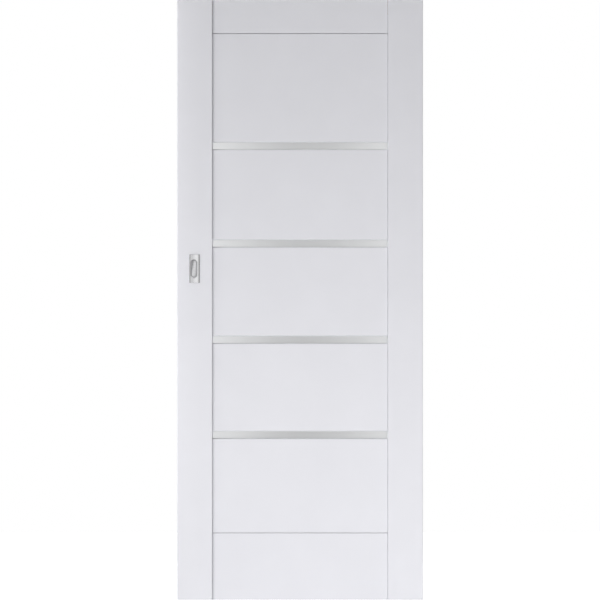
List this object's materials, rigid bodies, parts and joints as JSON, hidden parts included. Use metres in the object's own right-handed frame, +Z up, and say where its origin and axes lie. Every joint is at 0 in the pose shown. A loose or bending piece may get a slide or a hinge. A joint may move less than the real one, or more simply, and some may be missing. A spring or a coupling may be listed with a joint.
{
  "type": "sliding interior door leaf",
  "caption": "Top-hung sliding door leaf with a stile and rail frame, flat panels, narrow glass strips between them and a flush finger pull in each face.",
  "frame": {"origin": "centre of the top edge, the face that the hanger plates screw to", "axes": "+X from the leading edge, which has the pulls, to the trailing edge; +Y from the front face to the back face; +Z up"},
  "size_m": [0.832, 0.046, 2.03],
  "materials": {
    "white_foil": "fibreboard wrapped in smooth white foil, satin",
    "white_foil_timber": "layered softwood, white foil on the long edges and bare at the cut ends",
    "satin_glass": "4 mm toughened glass, satin-etched",
    "glazing_seal": "matt light grey",
    "satin_steel": "satin-brushed"
  },
  "bodies": {
    "root": {"back_flush_pull": "satin_steel", "bottom_rail_back_facing": "white_foil", "bottom_rail_core": "white_foil_timber", "bottom_rail_front_facing": "white_foil", "front_flush_pull": "satin_steel", "glass_seal_1": "glazing_seal", "glass_seal_2": "glazing_seal", "glass_seal_3": "glazing_seal", "glass_seal_4": "glazing_seal", "glass_strip_1": "satin_glass", "glass_strip_2": "satin_glass", "glass_strip_3": "satin_glass", "glass_strip_4": "satin_glass", "leading_edge_lipping": "white_foil_timber", "leading_stile_back_facing": "white_foil", "leading_stile_core": "white_foil_timber", "leading_stile_front_facing": "white_foil", "panel_1": "white_foil", "panel_2": "white_foil", "panel_3": "white_foil", "panel_4": "white_foil", "panel_5": "white_foil", "top_rail_back_facing": "white_foil", "top_rail_core": "white_foil_timber", "top_rail_front_facing": "white_foil", "trailing_edge_lipping": "white_foil_timber", "trailing_stile_back_facing": "white_foil", "trailing_stile_core": "white_foil_timber", "trailing_stile_front_facing": "white_foil"}
  },
  "joints": []
}
